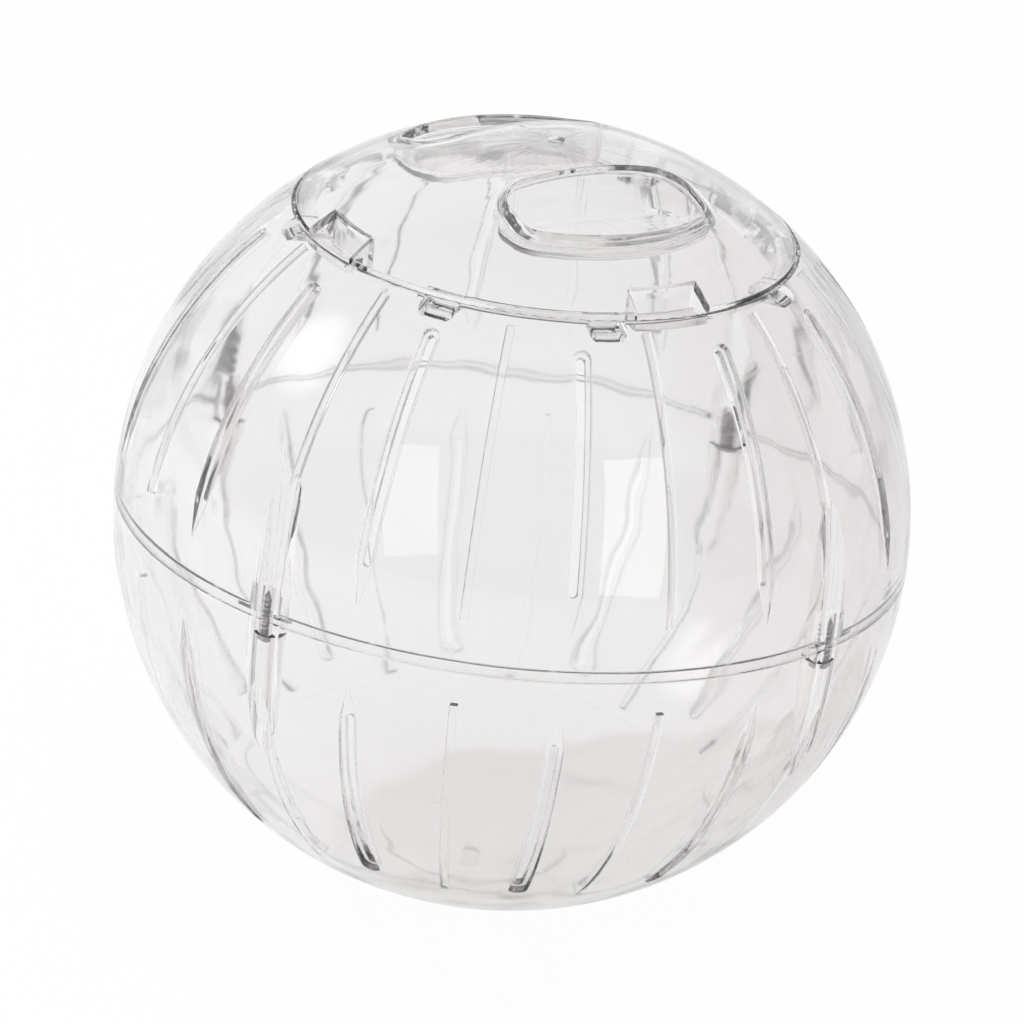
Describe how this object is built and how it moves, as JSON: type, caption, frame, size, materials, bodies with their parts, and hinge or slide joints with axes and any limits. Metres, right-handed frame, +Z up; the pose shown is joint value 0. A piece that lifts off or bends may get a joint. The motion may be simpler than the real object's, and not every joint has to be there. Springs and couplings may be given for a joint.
{
  "type": "hamster ball",
  "caption": "Clear plastic exercise ball for a small pet: two screwed half shells with vent slots and tread ribs, and a twist-lock lid with finger pockets.",
  "frame": {"origin": "centre of the ball", "axes": "+Z up through the middle of the lid, +X and +Y through two of the seam screws"},
  "size_m": [0.145, 0.145, 0.145],
  "materials": {
    "clear_plastic": "clear polished",
    "screw_steel": "bright zinc"
  },
  "bodies": {
    "ball": {"upper_shell": "clear_plastic", "lower_shell": "clear_plastic", "seam_screw_1": "screw_steel", "seam_screw_2": "screw_steel", "seam_screw_3": "screw_steel", "seam_screw_4": "screw_steel"},
    "lid": {"lid": "clear_plastic"}
  },
  "joints": [
    {"name": "lid_twist", "type": "hinge", "parent": "ball", "child": "lid", "pos_m": [0, 0, 0.0555], "axis": [0, 0, 1], "range_deg": [0, 19.5]}
  ]
}
